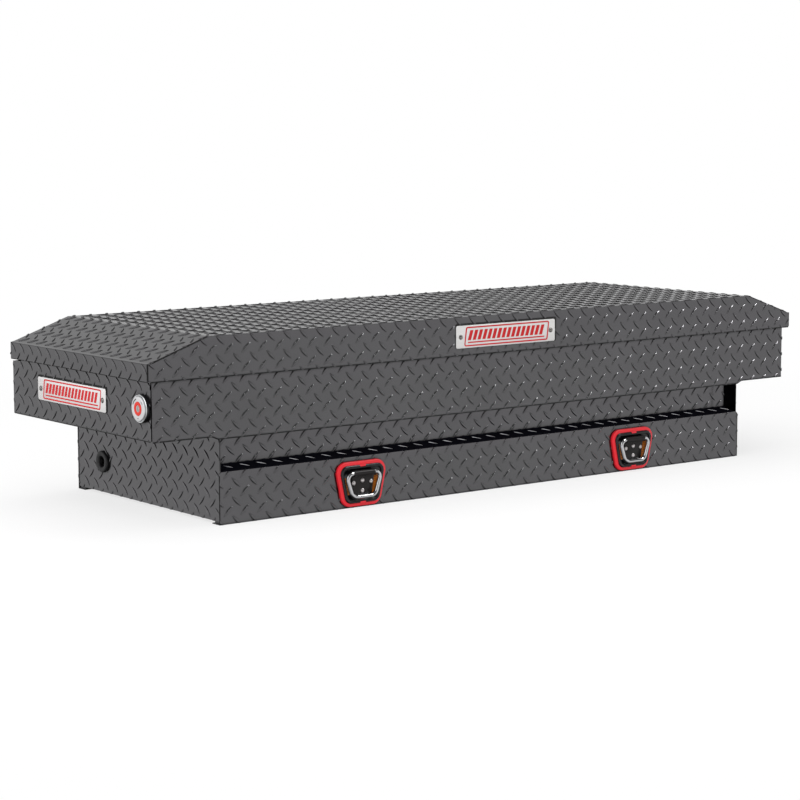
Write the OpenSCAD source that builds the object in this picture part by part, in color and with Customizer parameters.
// Crossover tool box for a pickup bed: a tread-plate box whose two wings rest on
// the bed rails, with a one-piece hinged lid, a push-button lock and latch in each
// end, two gas springs, two tie-down rings on the front and a cable grommet.
// Frame: +X along the box, -Y is the front face, +Z up; left is -X.
// Origin: centre of the bounding box, at the height of the lowest edge.

/* [Overall] */
// Length over the lid
lid_len = 1816; // [1806:2:1826]
// Length of the upper body, over the wings
upper_len = 1788; // [1778:2:1792]
// Length of the lower body, between the bed rails
lower_len = 1477; // [1440:1:1500]
// Depth of the body, front to back
depth = 574; // [572:1:580]
// Thickness of the sheet
sheet = 2; // [1.6:0.1:2]

/* [Heights] */
// Underside of the wings
wing_z = 182; // [178:1:186]
// Lower lip of the upper front panel, over the recess
lip_z = 176; // [172:1:178]
// Top of the body rim
rim_z = 318; // [317:1:318]
// Lower edge of the lid
skirt_z = 303; // [300:1:304]
// Top of the lid's end skirt
bevel_z = 338.5; // [338:0.5:340]
// Top of the lid
top_z = 386; // [380:1:395]
// Underside of the floor and of the end panels
floor_z = 6; // [4:1:8]

/* [Lid] */
// Length of the flat top
flat_len = 1534; // [1500:2:1600]
// Width of the near-level lip at each end of the lid
end_lip = 11; // [9:1:13]
// How far the lid stands in front of the body
lid_front = 8.6; // [8.5:0.1:9]
// Distance from the upper front face to the lid's rear face
lid_rear = 557; // [557:1:557]

/* [Recess] */
// Height of the front edge of the ledge
ledge_z = 108; // [107:1:110]
// Depth of the recess
recess_d = 40; // [36:1:44]
// How much the ledge rises towards the back
ledge_rise = 9; // [6:1:10]

/* [Tie-downs] */
// Distance of each tie-down from the middle of the box
tie_x = 390; // [300:5:600]
// Diameter of the ring's wire
wire_d = 9; // [9:0.5:9]

/* [Locks] */
// Distance of the lock's axis behind the front face
lock_d = 37; // [37:1:37]
// Height of the lock's axis
lock_z = 247; // [247:1:247]
// Outer diameter of the lock's bezel
bezel_d = 58; // [56:1:60]

/* [Hinge] */
// Distance of the hinge axis behind the upper front face
hinge_d = 561.8; // [561.8:0.1:561.8]
// Height of the hinge axis
hinge_z = 323; // [323:0.5:323]
// Radius of the hinge pin
pin_r = 2.2; // [2:0.1:2.2]
// Radial running clearance of the pins
run = 0.05; // [0.03:0.01:0.08]
// Length of one hinge knuckle
knuckle = 48; // [48:1:48]

/* [Gas springs] */
// Distance of the lower pivot behind the upper front face
spring_d = 240; // [240:1:240]
// Height of the lower pivot
spring_z = 206; // [206:1:206]
// Distance of the upper pivot behind the upper front face
spring_top_d = 510; // [510:1:510]
// Height of the upper pivot
spring_top_z = 314; // [314:1:314]
// Distance of the plane of the springs from the middle of the box
spring_x = 852; // [852:1:852]

/* [Nameplates] */
// Length of a nameplate
plate_len = 283; // [240:1:300]
// Height of a nameplate
plate_h = 49; // [44:1:52]

/* [Grommet] */
// Outer diameter of the cable grommet
grommet_d = 47.5; // [44:0.5:50]
// Diameter of the grommet's hole
grommet_hole = 23; // [18:1:26]

/* [Hidden] */
$fn = 48;

paint = [0.30, 0.30, 0.31];
dark = [0.16, 0.16, 0.17];
steel = [0.72, 0.72, 0.74];
zinc = [0.62, 0.63, 0.62];
black = [0.05, 0.05, 0.055];
red = [0.85, 0.10, 0.12];
amber = [0.85, 0.42, 0.05];

ring_out = 14.5;  // axis of the ring's wire, in front of the lower front panel
barrel_r = 6.4;   // radius of the strap's barrel round the ring
proud = sheet + ring_out + barrel_r;  // furthest point in front of the upper front face

front_y = -(depth - proud) / 2;  // upper front face
rear_y = front_y + depth;
lower_y = front_y - sheet;       // outer face of the lower front panel
lid_front_y = front_y - lid_front;
lid_inner_y = lid_front_y + sheet;  // rear face of the lid's front sheet
lid_rear_y = front_y + lid_rear;

upper_x = upper_len / 2;
lower_x = lower_len / 2;
lid_x = lid_len / 2;
flat_x = flat_len / 2;
front_x = lower_x + 3;           // half-length of the lower front panel

wing_top = wing_z + sheet;
flange = 29;                     // width of the rim flange at the front and ends
rear_flange = 51;
notch_z = 296;                   // foot of the notch in the body's rear top corners
frame_z = rim_z + 9.3;           // underside of the lid's inner frame, over the seal
frame_top = frame_z + sheet;

// ---- Helpers ----
// y at a distance behind the upper front face
function behind(distance) = front_y + distance;
function arc(x, z, radius, start, end, steps) = [for (k = [0 : steps])
  let (angle = start + (end - start) * k / steps)
  [x + radius * cos(angle), z + radius * sin(angle)]];
// closed outline from its left half, whose points run from the bottom to the top
function symmetric(half) =
  concat(half, [for (i = [len(half) - 1 : -1 : 0]) [-half[i][0], half[i][1]]]);

module slab(x_min, x_max, y_min, y_max, z_min, z_max)
  translate([x_min, y_min, z_min]) cube([x_max - x_min, y_max - y_min, z_max - z_min]);
// a (y, z) outline drawn along x
module ext_x(x_min, x_max)
  translate([x_min, 0, 0]) rotate([90, 0, 90]) linear_extrude(x_max - x_min) children();
// an (x, z) outline drawn along y
module ext_y(y_min, y_max)
  translate([0, y_max, 0]) rotate([90, 0, 0]) linear_extrude(y_max - y_min) children();
module rod_x(x_min, x_max, y, z, radius)
  translate([x_min, y, z]) rotate([0, 90, 0]) cylinder(r = radius, h = x_max - x_min);
module rod_y(y_min, y_max, x, z, radius)
  translate([x, y_max, z]) rotate([90, 0, 0]) cylinder(r = radius, h = y_max - y_min);
module rod_z(z_min, z_max, x, y, radius)
  translate([x, y, z_min]) cylinder(r = radius, h = z_max - z_min);
module both_ends() {
  children();
  mirror([1, 0, 0]) children();
}
// a shallow round head: a slice of a sphere, standing on its base circle
module dome(radius, height) {
  sphere_r = (radius * radius + height * height) / (2 * height);
  intersection() {
    translate([0, 0, height - sphere_r]) sphere(r = sphere_r);
    cylinder(r = radius, h = height + 1);
  }
}

// ---- Body sheets ----
module front_upper_panel() color(paint) {
  ext_y(front_y, front_y + sheet) polygon(symmetric([[-front_x, lip_z],
    [-lower_x - 17, wing_z], [-upper_x, wing_z], [-upper_x, rim_z]]));
  slab(-upper_x + flange, upper_x - flange, front_y + sheet, front_y + flange,
    rim_z - sheet, rim_z);
}

// the ledge, back and roof of the recess, with a flange down behind the lower panel
module front_recess_channel() color(paint) {
  inner_y = front_y + sheet;
  back_y = front_y + recess_d;
  foot_z = ledge_z - 24;
  ext_x(-lower_x + sheet, lower_x - sheet) polygon([
    [inner_y, lip_z + sheet],
    [back_y + sheet, lip_z + sheet],
    [back_y + sheet, ledge_z + ledge_rise - sheet],
    [inner_y, ledge_z - sheet - 0.5],
    [inner_y, foot_z],
    [front_y, foot_z],
    [front_y, ledge_z],
    [back_y, ledge_z + ledge_rise],
    [back_y, lip_z],
    [inner_y, lip_z]]);
}

module front_lower_panel() color(paint) difference() {
  corner_r = 6;
  union() {
    ext_y(lower_y, front_y) polygon(symmetric(concat([[-front_x, 0]],
      arc(-front_x + corner_r, ledge_z - corner_r, corner_r, 180, 90, 6))));
    slab(-front_x, front_x, front_y, front_y + 26, 0, sheet);
  }
  at_ties() tie_rivet_holes();
}

module rear_panel() color(paint) {
  foot_x = lower_x + 1;
  notch_x = upper_x - 30;
  ext_y(rear_y - sheet, rear_y) polygon(symmetric([
    [-foot_x, 0], [-foot_x, wing_z], [-upper_x, wing_z],
    [-upper_x, notch_z], [-notch_x, notch_z], [-notch_x, rim_z]]));
  slab(-foot_x, foot_x, rear_y - 28, rear_y - sheet, 0, sheet);
  difference() {
    slab(-upper_x + flange + 1, upper_x - flange - 1, rear_y - rear_flange, rear_y - sheet,
      rim_z - sheet, rim_z);
    hinge_rivet_holes();
  }
}

module floor_panel() color(paint) {
  half_x = lower_x - sheet;
  slab(-half_x, half_x, front_y + sheet, rear_y - sheet, floor_z, floor_z + sheet);
  // spacer rails under the floor, standing on the two bottom flanges
  slab(-half_x, half_x, front_y + sheet + 2, front_y + 24, sheet, floor_z);
  slab(-half_x, half_x, rear_y - 26, rear_y - sheet - 2, sheet, floor_z);
}

// its front edge stops short of the lower front panel, which leaves an open seam there
module lower_end_plate() color(paint) {
  seam_y = front_y + 3.2;
  ext_x(-lower_x, -lower_x + sheet) polygon([
    [seam_y, floor_z],
    [rear_y - sheet, floor_z],
    [rear_y - sheet, wing_z],
    [front_y + sheet, wing_z],
    [front_y + sheet, lip_z],
    [front_y, lip_z],
    [front_y, ledge_z - 2],
    [seam_y, ledge_z - 3]]);
}
module left_lower_end() difference() {
  lower_end_plate();
  grommet_rod(-1, sheet + 1, 19);
}
module right_lower_end() mirror([1, 0, 0]) lower_end_plate();

module upper_end(has_nameplate) color(paint) difference() {
  step_y = front_y + 6;     // front edge of the end sheet
  notch_y = rear_y - 36;
  union() {
    ext_x(-upper_x, -upper_x + sheet) polygon([
      [step_y, wing_top], [step_y, rim_z], [notch_y, rim_z],
      [notch_y, notch_z], [rear_y - sheet, notch_z], [rear_y - sheet, wing_top]]);
    // joggle behind the front sheet, which leaves the open seam at the corner
    slab(-upper_x + 3, -upper_x + 5, front_y + sheet, step_y + 2, wing_top, rim_z - 1);
    slab(-upper_x + 1, -upper_x + 5, step_y, step_y + 2, wing_top, rim_z - 1);
    // flange against the front sheet
    slab(-upper_x + 4, -upper_x + 16, front_y + sheet, front_y + sheet + 2,
      wing_top, rim_z - 1);
    // rim flange
    slab(-upper_x + 1, -upper_x + flange, front_y + sheet + 2, notch_y,
      rim_z - sheet, rim_z);
  }
  lock_rod(-1, 20, lock_hole_r);
  if (has_nameplate) end_plate_rods(-1, sheet + 1, plate_hole_r);
}
module left_upper_end() upper_end(true);
module right_upper_end() mirror([1, 0, 0]) upper_end(false);

// wing with two holes through it
module wing_floor() color(paint) difference() {
  slab(-upper_x, -lower_x, front_y + sheet, rear_y - sheet, wing_z, wing_top);
  for (side = [-1, 1])
    rod_z(wing_z - 1, wing_top + 1, -815, behind(depth / 2) + side * 180, 5.5);
}
module left_wing_floor() wing_floor();
module right_wing_floor() mirror([1, 0, 0]) wing_floor();

// ---- Rim seal: a flat strip with a round bulb along it ----
strip_half = 5;
strip_h = 3.5;
bulb_r = 4.5;
bulb_z = rim_z + 4.6;
module rim_seal() color(black) {
  side_x = upper_x - 15;
  end_x = side_x + strip_half;
  seal_y = [behind(15), behind(535)];
  y_min = seal_y[0] - strip_half;
  y_max = seal_y[1] + strip_half;
  for (x = [-side_x, side_x]) {
    slab(x - strip_half, x + strip_half, y_min, y_max, rim_z, rim_z + strip_h);
    rod_y(y_min, y_max, x, bulb_z, bulb_r);
  }
  for (y = seal_y) {
    slab(-end_x, end_x, y - strip_half, y + strip_half, rim_z, rim_z + strip_h);
    rod_x(-end_x, end_x, y, bulb_z, bulb_r);
  }
}

// ---- Hinge: knuckles alternate between the body leaf and the lid leaf ----
hinge_y = behind(hinge_d);
knuckle_count = 36;
knuckle_r = 4.5;
knuckle_gap = 0.2;      // taken off each end of a knuckle
leaf_x = knuckle * knuckle_count / 2;
leaf_t = 1.5;
hinge_rivet_x = [-825 : 150 : 825];
body_rivet_y = behind(549.5);
lid_rivet_z = 338;
hinge_rivet_r = 1.6;
hinge_hole_r = 1.65;
head_r = 3;
head_h = 1.4;
tail_r = 2.6;
tail_h = 1.2;

module hinge_rivet_holes() for (x = hinge_rivet_x)
  rod_z(rim_z - 4, rim_z + 4, x, body_rivet_y, hinge_hole_r);
module lid_rivet_holes() for (x = hinge_rivet_x)
  rod_y(lid_rear_y - 4, lid_rear_y + 4, x, lid_rivet_z, hinge_hole_r);
module pin_bore() rod_x(-leaf_x - 1, leaf_x + 1, hinge_y, hinge_z, pin_r + run);
// every second knuckle from the first one given, each with the strip that carries it
module knuckles(first, y_min, y_max, z_max) for (i = [first : 2 : knuckle_count - 1]) {
  x_min = -leaf_x + i * knuckle + knuckle_gap;
  x_max = -leaf_x + (i + 1) * knuckle - knuckle_gap;
  slab(x_min, x_max, y_min, y_max, z_max[0], z_max[1]);
  rod_x(x_min, x_max, hinge_y, hinge_z, knuckle_r);
}

module body_hinge_leaf() color(zinc) difference() {
  union() {
    slab(-leaf_x, leaf_x, behind(543), behind(556.4), rim_z, rim_z + leaf_t);
    knuckles(0, behind(556), hinge_y, [rim_z, rim_z + leaf_t]);
  }
  pin_bore();
  hinge_rivet_holes();
}
module body_hinge_rivets() color(steel) for (x = hinge_rivet_x) {
  under_z = rim_z - sheet;
  over_z = rim_z + leaf_t;
  rod_z(under_z, over_z, x, body_rivet_y, hinge_rivet_r);
  rod_z(over_z, over_z + head_h, x, body_rivet_y, head_r);
  rod_z(under_z - tail_h, under_z, x, body_rivet_y, tail_r);
}
module hinge_pin() color(steel) rod_x(-leaf_x - 0.5, leaf_x + 0.5, hinge_y, hinge_z, pin_r);
module lid_hinge_leaf() color(zinc) difference() {
  union() {
    slab(-leaf_x, leaf_x, lid_rear_y, lid_rear_y + leaf_t, hinge_z + 5.2, hinge_z + 22);
    knuckles(1, lid_rear_y, lid_rear_y + leaf_t, [hinge_z, hinge_z + 5.5]);
  }
  pin_bore();
  lid_rivet_holes();
}
module lid_hinge_rivets() color(steel) for (x = hinge_rivet_x) {
  inner_y = lid_rear_y - sheet;
  outer_y = lid_rear_y + leaf_t;
  rod_y(inner_y, outer_y, x, lid_rivet_z, hinge_rivet_r);
  rod_y(outer_y, outer_y + head_h, x, lid_rivet_z, head_r);
  rod_y(inner_y - tail_h, inner_y, x, lid_rivet_z, tail_r);
}

// ---- Cable grommet in the left lower end ----
// a rod on the grommet's axis; from and to run inwards from the left lower end's face
module grommet_rod(from, to, radius)
  rod_x(-lower_x + from, -lower_x + to, behind(464), 73.5, radius);
module cable_grommet() color(black) difference() {
  union() {
    grommet_rod(-7, 0, grommet_d / 2);
    grommet_rod(0, sheet, 18.9);
    grommet_rod(sheet, sheet + 4, 22);
  }
  grommet_rod(-8, sheet + 5, grommet_hole / 2);
}

// ---- Nameplates: one on the left end, one on the lid's front ----
plate_t = 1.5;
plate_corner_r = 4;
end_plate_y = behind(320);
end_plate_z = 247.5;
lid_plate_x = 6;
lid_plate_z = 343;
plate_rivet_off = 129;  // from the middle of the plate to each rivet
plate_rivet_r = 2;
plate_hole_r = 2.1;
plate_head = [5.5, 2.6];  // radius, height
plate_tail_r = 3.6;
plate_tail_h = 1.5;

function plate_outline(across, z) =
  let (half_l = plate_len / 2 - plate_corner_r, half_h = plate_h / 2 - plate_corner_r)
  // corner: side along the plate, side in height, start angle
  [for (c = [[1, 1, 0], [-1, 1, 90], [-1, -1, 180], [1, -1, 270]])
    each arc(across + c[0] * half_l, z + c[1] * half_h, plate_corner_r, c[2], c[2] + 90, 6)];
// rods at the two rivets; from and to run inwards from the sheet's outer face
module end_plate_rods(from, to, radius) for (side = [-1, 1])
  rod_x(-upper_x + from, -upper_x + to, end_plate_y + side * plate_rivet_off,
    end_plate_z, radius);
module lid_plate_rods(from, to, radius) for (side = [-1, 1])
  rod_y(lid_front_y + from, lid_front_y + to, lid_plate_x + side * plate_rivet_off,
    lid_plate_z, radius);

module end_nameplate() color(steel) difference() {
  ext_x(-upper_x - plate_t, -upper_x) polygon(plate_outline(end_plate_y, end_plate_z));
  end_plate_rods(-3, 1, plate_hole_r);
}
module end_nameplate_rivets() color(zinc) {
  end_plate_rods(-plate_t, sheet, plate_rivet_r);
  for (side = [-1, 1])
    translate([-upper_x - plate_t, end_plate_y + side * plate_rivet_off, end_plate_z])
      rotate([0, -90, 0]) dome(plate_head[0], plate_head[1]);
  end_plate_rods(sheet, sheet + plate_tail_h, plate_tail_r);
}
module lid_nameplate() color(steel) difference() {
  ext_y(lid_front_y - plate_t, lid_front_y) polygon(plate_outline(lid_plate_x, lid_plate_z));
  lid_plate_rods(-3, 1, plate_hole_r);
}
module lid_nameplate_rivets() color(zinc) {
  lid_plate_rods(-plate_t, sheet, plate_rivet_r);
  for (side = [-1, 1])
    translate([lid_plate_x + side * plate_rivet_off, lid_front_y - plate_t, lid_plate_z])
      rotate([90, 0, 0]) dome(plate_head[0], plate_head[1]);
  lid_plate_rods(sheet, sheet + plate_tail_h, plate_tail_r);
}

// ---- Tie-downs ----
// Drawn in a local frame: x = 0 in the middle of the tie-down, y = 0 on the outer face
// of the lower front panel, so y = sheet is that panel's inner face.
tilt = 12;              // inward slope of the outline's sides, in degrees
tie_high_z = 75;        // upper corner centres
tie_low_z = 27;         // lower corner centres
// corner: centre x, centre z, start angle, end angle
tie_corners = [
  [39.5, tie_high_z, -tilt, 90], [-39.5, tie_high_z, 90, 180 + tilt],
  [-29.3, tie_low_z, 180 + tilt, 270], [29.3, tie_low_z, 270, 360 - tilt]];
pan_r = 16;             // corner radius of the pan's rim
pan_top = tie_high_z + pan_r;
pan_foot = tie_low_z - pan_r;
gasket_t = 7.5;
tie_rivets = [[-23, 54], [0, 58], [23, 54], [0, 36]];  // x, z
tie_rivet_r = 2.5;
tie_hole_r = 2.6;
strap_half = 27;
strap_back = -7;        // y of the strap's rear face
strap_front = -9;       // y of its front face, under the rivet heads
backing_y = sheet + 2;  // rear face of the backing plate
ring_z = 74.8;          // axis of the ring's upper run

module at_tie(side) translate([side * tie_x, lower_y, 0]) children();
module at_ties() for (side = [-1, 1]) at_tie(side) children();
function tie_outline(radius) =
  [for (c = tie_corners) each arc(c[0], c[1], radius, c[2], c[3], 10)];
module tie_rivet_holes()
  for (p = tie_rivets) rod_y(-12, sheet + 12, p[0], p[1], tie_hole_r);

module tiedown_gaskets() color(red) at_ties() {
  tab_h = 2.8;
  ext_y(-gasket_t, 0) difference() {
    polygon(tie_outline(24));
    polygon(tie_outline(14));
  }
  // tabs that stand in the pan's notches
  for (z = [pan_top - tab_h, pan_foot]) slab(-7, 7, -11.2, -gasket_t, z, z + tab_h);
}
module tiedown_pans() color(black) at_ties() difference() {
  union() {
    ext_y(-gasket_t, 0) polygon(tie_outline(13.7));
    ext_y(-11.5, -gasket_t) polygon(tie_outline(pan_r));
  }
  ext_y(-13, -7) polygon(tie_outline(9.5));
  // notches in the upper and lower rim
  for (z = [pan_top - 3, pan_foot - 1]) slab(-7.2, 7.2, -13, -gasket_t, z, z + 4);
  tie_rivet_holes();
}
module tiedown_straps() color(black) at_ties() difference() {
  union() {
    ext_y(strap_front, strap_back) polygon(symmetric([[-21, 30.5], [-27, 48], [-27, 68]]));
    rod_x(-strap_half, strap_half, -ring_out, ring_z, barrel_r);
    slab(-strap_half, strap_half, -12.5, strap_back, 66, ring_z);
    slab(-strap_half, strap_half, -ring_out, strap_back, ring_z - 2, ring_z + 2);
  }
  // cuts off what the barrel may leave behind the strap
  slab(-30, 30, strap_back, 0, 60, 90);
  rod_x(-30, 30, -ring_out, ring_z, wire_d / 2 + run);
  tie_rivet_holes();
}
module tiedown_rivets() color(zinc) at_ties() for (p = tie_rivets) {
  rod_y(strap_front, backing_y, p[0], p[1], tie_rivet_r);
  translate([p[0], strap_front, p[1]]) rotate([90, 0, 0]) dome(4.7, 2);
  rod_y(backing_y, backing_y + 2, p[0], p[1], 4);
}
module tiedown_backing_plates() color(zinc) at_ties() difference() {
  slab(-45, 45, sheet, backing_y, 24, 72);
  tie_rivet_holes();
}
module tiedown_reflectors() color(amber) at_ties() for (side = [-1, 1])
  ext_y(-7.7, -7)
    polygon([for (p = [[45, 66], [32, 66], [28.5, 50], [26, 29], [37, 29]]) [side * p[0], p[1]]]);

// The ring is a closed wire loop in the XZ plane: straight runs joined by arcs.
// wire corners before bending: x, z
ring_path = [[-46.2, ring_z], [46.2, ring_z], [29.5, 24.5], [-29.5, 24.5]];
ring_bend_r = [12.5, 12.5, 16, 16];
function unit(vector) = vector / norm(vector);
// bend at a corner: arc start, arc centre, arc end, arc angle
function ring_bend(i) = let (
    apex = ring_path[i % 4],
    back = unit(ring_path[(i + 3) % 4] - apex),
    ahead = unit(ring_path[(i + 1) % 4] - apex),
    radius = ring_bend_r[i % 4],
    half = acos(back * ahead) / 2)
  [apex + back * (radius / tan(half)), apex + unit(back + ahead) * (radius / sin(half)),
    apex + ahead * (radius / tan(half)), 180 - 2 * half];
// each straight run is a hair thinner than the bends and enters them a little,
// so that every joint is a clean circle
module ring_straight(start, end) {
  thinner = 0.02;
  entry = 0.3;
  way = end - start;
  translate([start[0], 0, start[1]]) rotate([0, atan2(way[0], way[1]), 0])
    translate([0, 0, -entry]) cylinder(r = wire_d / 2 - thinner, h = norm(way) + 2 * entry);
}
module tiedown_ring() color(steel) translate([0, -ring_out, 0]) for (i = [0 : 3]) {
  bend = ring_bend(i);
  centre = bend[1];
  spoke = bend[0] - centre;
  ring_straight(bend[2], ring_bend(i + 1)[0]);
  translate([centre[0], 0, centre[1]]) rotate([90, 0, 0])
    rotate([0, 0, atan2(spoke[1], spoke[0]) - bend[3]])
      rotate_extrude(angle = bend[3]) translate([norm(spoke), 0]) circle(r = wire_d / 2);
}
module left_tiedown_ring() at_tie(-1) tiedown_ring();
module right_tiedown_ring() at_tie(1) tiedown_ring();

// ---- Locks, drawn at the left end ----
barrel_lock_r = 20;
lock_hole_r = 20.1;
button_r = 18;
plug_r = 5.5;
stem_end_x = -842;      // inner end of the button's stem
// a rod on the lock's axis; from and to run inwards from the left upper end's face
module lock_rod(from, to, radius)
  rod_x(-upper_x + from, -upper_x + to, behind(lock_d), lock_z, radius);

module lock_bezels() both_ends() color(steel) difference() {
  union() {
    lock_rod(-8, 0, bezel_d / 2);
    lock_rod(0, 24, barrel_lock_r);
  }
  lock_rod(-9, -2, 25.3);
  lock_rod(-9, 25, button_r + run);
}
module lock_nuts() both_ends() color(zinc) difference() {
  lock_rod(sheet, 9, 25.5);
  lock_rod(0, 12, lock_hole_r);
}
module push_button() color(steel) difference() {
  union() {
    lock_rod(-11, -8, 25);
    lock_rod(-8, 22, button_r);
    lock_rod(22, upper_x + stem_end_x, 3);
  }
  // groove for the coloured ring
  difference() {
    lock_rod(-12, -9.6, 14.1);
    lock_rod(-13, -9, 6.8);
  }
  lock_rod(-12, 6, plug_r + run);
}
module button_ring() color(red) difference() {
  lock_rod(-11.8, -9.6, 14);
  lock_rod(-13, -9, 6.9);
}
module key_plug() color(zinc) difference() {
  lock_rod(-11.6, 5.8, plug_r);
  // key slot
  slab(-upper_x - 12, -upper_x - 5, behind(lock_d) - 0.9, behind(lock_d) + 0.9,
    lock_z - 3.6, lock_z + 3.6);
}
module left_push_button() push_button();
module left_button_ring() button_ring();
module left_key_plug() key_plug();
module right_push_button() mirror([1, 0, 0]) push_button();
module right_button_ring() mirror([1, 0, 0]) button_ring();
module right_key_plug() mirror([1, 0, 0]) key_plug();

// ---- Latches, drawn at the left end ----
hook_x = -838;          // axis of the hook's pivot
hook_z = 266;
hook_pin_r = 4;
// hook's (x, z) outline, from the pivot up to the nose and back
hook_outline = [[-847, 264], [-850, 290], [-850, 312], [-836, 312], [-831, 306.5],
  [-831, 304.6], [-841.5, 304.6], [-841.5, 292], [-829.5, 270]];
// (x, z) outline of the tail that faces the button's stem
tail_outline = [[-841.6, 240], [-841.6, 262], [-834.6, 262], [-837.6, 240]];
striker_x = -836;
striker_z = 300;
striker_r = 4;

module latch_hook() color(zinc) difference() {
  union() {
    rod_y(behind(31), behind(51), hook_x, hook_z, 9);
    ext_y(behind(43), behind(51)) polygon(hook_outline);
    ext_y(behind(31), behind(51)) polygon(tail_outline);
  }
  rod_y(behind(20), behind(60), hook_x, hook_z, hook_pin_r + run);
}
module left_latch_hook() latch_hook();
module right_latch_hook() mirror([1, 0, 0]) latch_hook();
// pin with a head at each end
module latch_pivot_pins() color(steel) both_ends() {
  rod_y(behind(25), behind(59), hook_x, hook_z, hook_pin_r);
  for (distance = [23.5, 59])
    rod_y(behind(distance), behind(distance + 1.5), hook_x, hook_z, 6);
}
// foot on the wing with two upright cheeks
module latch_brackets() color(zinc) both_ends() difference() {
  translate([hook_x, 0, 0]) {
    slab(-22, 22, behind(25), behind(59), wing_top, wing_top + 2);
    for (distance = [25, 57]) ext_y(behind(distance), behind(distance + 2))
      polygon(symmetric([[-20, wing_top], [-13, 262], [-10, 276]]));
  }
  rod_y(behind(20), behind(62), hook_x, hook_z, hook_pin_r + run);
}
// bar hung from the lid's inner frame by two posts
module latch_strikers() color(steel) both_ends() {
  rod_y(behind(35), behind(59), striker_x, striker_z, striker_r);
  for (distance = [37, 57]) {
    rod_z(striker_z, frame_z, striker_x, behind(distance), striker_r);
    translate([striker_x, behind(distance), striker_z]) sphere(r = striker_r);
  }
}

// ---- Gas springs: the cylinder turns on the body, the rod slides in it ----
spring_rise = spring_top_z - spring_z;
spring_reach = spring_top_d - spring_d;
spring_tilt = atan2(spring_rise, spring_reach);
spring_len = sqrt(pow(spring_rise, 2) + pow(spring_reach, 2));
spring_pin_r = 4;
spring_rod_r = 4;

// frame with its origin on the lower pivot and y along the spring
module spring_frame()
  translate([-spring_x, behind(spring_d), spring_z]) rotate([spring_tilt, 0, 0]) children();
module along(start, end, radius)
  translate([0, start, 0]) rotate([-90, 0, 0]) cylinder(r = radius, h = end - start);
module spring_eye(y, radius, width) translate([0, y, 0]) rotate([0, 90, 0])
  translate([0, 0, -width / 2]) cylinder(r = radius, h = width);

module spring_cylinder() color(black) spring_frame() difference() {
  union() {
    spring_eye(0, 8, 12);
    along(0, 22, 4);
    along(20, 215, 9);
  }
  spring_eye(0, spring_pin_r + run, 20);
  along(26, 209, 7.6);
  along(208, 220, spring_rod_r + run);
}
module spring_rod() color(steel) spring_frame() {
  along(30, 34, 7.55);  // piston
  along(34, spring_len - 4, spring_rod_r);
  spring_eye(spring_len, 7.5, 12);
}
module left_spring_cylinder() spring_cylinder();
module left_spring_rod() spring_rod();
module right_spring_cylinder() mirror([1, 0, 0]) spring_cylinder();
module right_spring_rod() mirror([1, 0, 0]) spring_rod();

module spring_body_brackets() color(zinc) both_ends()
  translate([-spring_x, behind(spring_d), 0]) {
    slab(-14, -12, -16, 16, wing_top, spring_z + 12);
    slab(-12, 10, -16, 16, wing_top, wing_top + 2);
    rod_x(-12, 9, 0, spring_z, spring_pin_r);
    rod_x(9, 10.5, 0, spring_z, 6);
  }
module spring_lid_brackets() color(zinc) both_ends()
  translate([-spring_x, behind(spring_top_d), 0]) {
    slab(-13, -11, -14, 11, spring_top_z - 11, frame_top + 2);
    slab(-33, -13, -14, 11, frame_top, frame_top + 2);
    rod_x(-11, -7, 0, spring_top_z, spring_pin_r);
  }

// ---- Lid ----
// the lid's (x, z) section set in from its outer face, open below at bottom_z
function lid_profile(inset, bottom_z) = symmetric([
  [-lid_x + inset, bottom_z],
  [-lid_x + inset, bevel_z - inset],
  [-lid_x + end_lip + inset * 0.2, bevel_z + 2.5 - inset],
  [-flat_x + inset * 0.2, top_z - inset]]);
module lid_shell(y_min, y_max, outer, inner) ext_y(y_min, y_max) difference() {
  polygon(lid_profile(outer, skirt_z));
  polygon(lid_profile(inner, skirt_z - 1));
}

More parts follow.
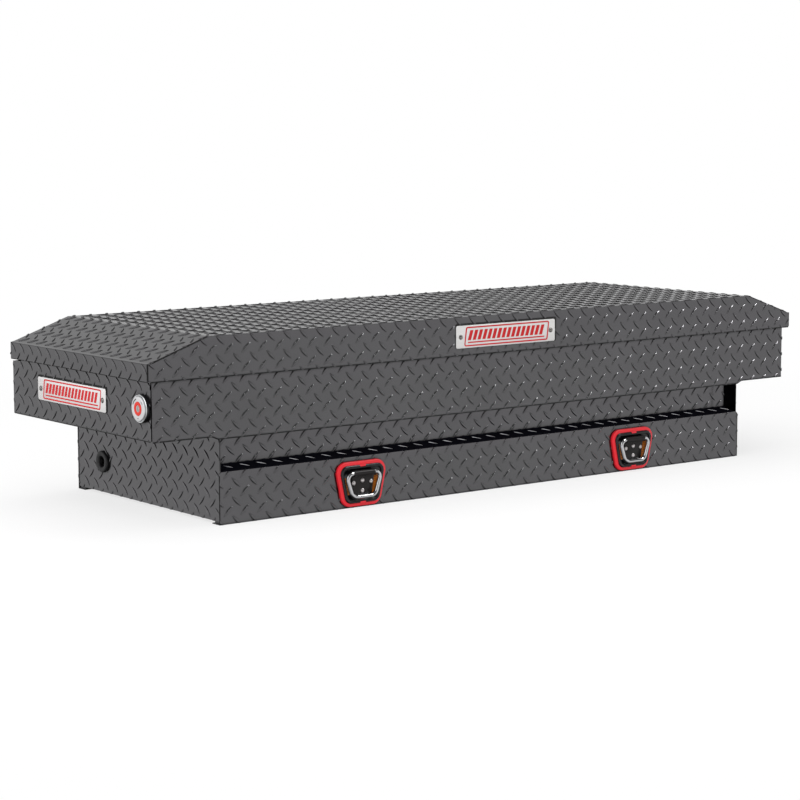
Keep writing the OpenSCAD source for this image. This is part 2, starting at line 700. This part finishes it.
// the joggle behind the front sheet leaves the open seam round the lid's front edge
module lid_skin() color(paint) {
  seam_y = lid_inner_y + 2.6;
  joggle_y = lid_inner_y + 5;
  lid_shell(seam_y, lid_rear_y, 0, sheet);
  lid_shell(seam_y, joggle_y, sheet - 1, sheet + 3);
  lid_shell(lid_inner_y, joggle_y, sheet + 1, sheet + 3);
}
module lid_front_sheet() color(paint) difference() {
  union() {
    ext_y(lid_front_y, lid_inner_y) polygon(symmetric([
      [-lid_x + 1, skirt_z], [-lid_x + 1, bevel_z - 0.3],
      [-lid_x + end_lip, bevel_z + 2.2], [-flat_x, top_z]]));
    // hem turned up inside along the lower edge
    slab(-lid_x + sheet + 4, lid_x - sheet - 4, lid_inner_y, lid_inner_y + 2,
      skirt_z, skirt_z + 16);
  }
  lid_plate_rods(-3, 6, plate_hole_r);
}
module lid_rear_flange() color(paint) difference() {
  ext_y(lid_rear_y - sheet, lid_rear_y) polygon(lid_profile(sheet, rim_z + 3));
  lid_rivet_holes();
}
module lid_inner_frame() color(dark) difference() {
  slab(-lid_x + sheet, lid_x - sheet, lid_inner_y + 5, lid_rear_y - sheet,
    frame_z, frame_top);
  slab(-812, 812, behind(32), behind(522), rim_z, rim_z + 20);
  // slots for the gas springs and their brackets
  both_ends() slab(-866, -840, behind(440), behind(526), rim_z, rim_z + 20);
}
// three channels across the lid, from its top down to the inner frame
module lid_stiffeners() color(dark) {
  wall = 1.5;
  fore_y = behind(-1.5);
  aft_y = lid_rear_y - sheet;
  roof_z = top_z - sheet;
  for (x = [-480, 0, 480]) ext_x(x - 32, x + 32) polygon([
    [fore_y, roof_z], [fore_y, frame_top],
    [fore_y + wall, frame_top], [fore_y + wall, roof_z - wall],
    [aft_y - wall, roof_z - wall], [aft_y - wall, frame_top],
    [aft_y, frame_top], [aft_y, roof_z]]);
}

front_upper_panel();
front_recess_channel();
front_lower_panel();
rear_panel();
floor_panel();
left_lower_end();
right_lower_end();
left_upper_end();
right_upper_end();
left_wing_floor();
right_wing_floor();
rim_seal();
body_hinge_leaf();
body_hinge_rivets();
hinge_pin();
cable_grommet();
end_nameplate();
end_nameplate_rivets();
tiedown_gaskets();
tiedown_pans();
tiedown_straps();
tiedown_rivets();
tiedown_backing_plates();
tiedown_reflectors();
lock_bezels();
lock_nuts();
latch_brackets();
latch_pivot_pins();
spring_body_brackets();
lid_skin();
lid_front_sheet();
lid_rear_flange();
lid_inner_frame();
lid_stiffeners();
lid_hinge_leaf();
lid_hinge_rivets();
lid_nameplate();
lid_nameplate_rivets();
latch_strikers();
spring_lid_brackets();
left_push_button();
left_button_ring();
left_key_plug();
left_latch_hook();
right_push_button();
right_button_ring();
right_key_plug();
right_latch_hook();
left_spring_cylinder();
left_spring_rod();
right_spring_cylinder();
right_spring_rod();
left_tiedown_ring();
right_tiedown_ring();
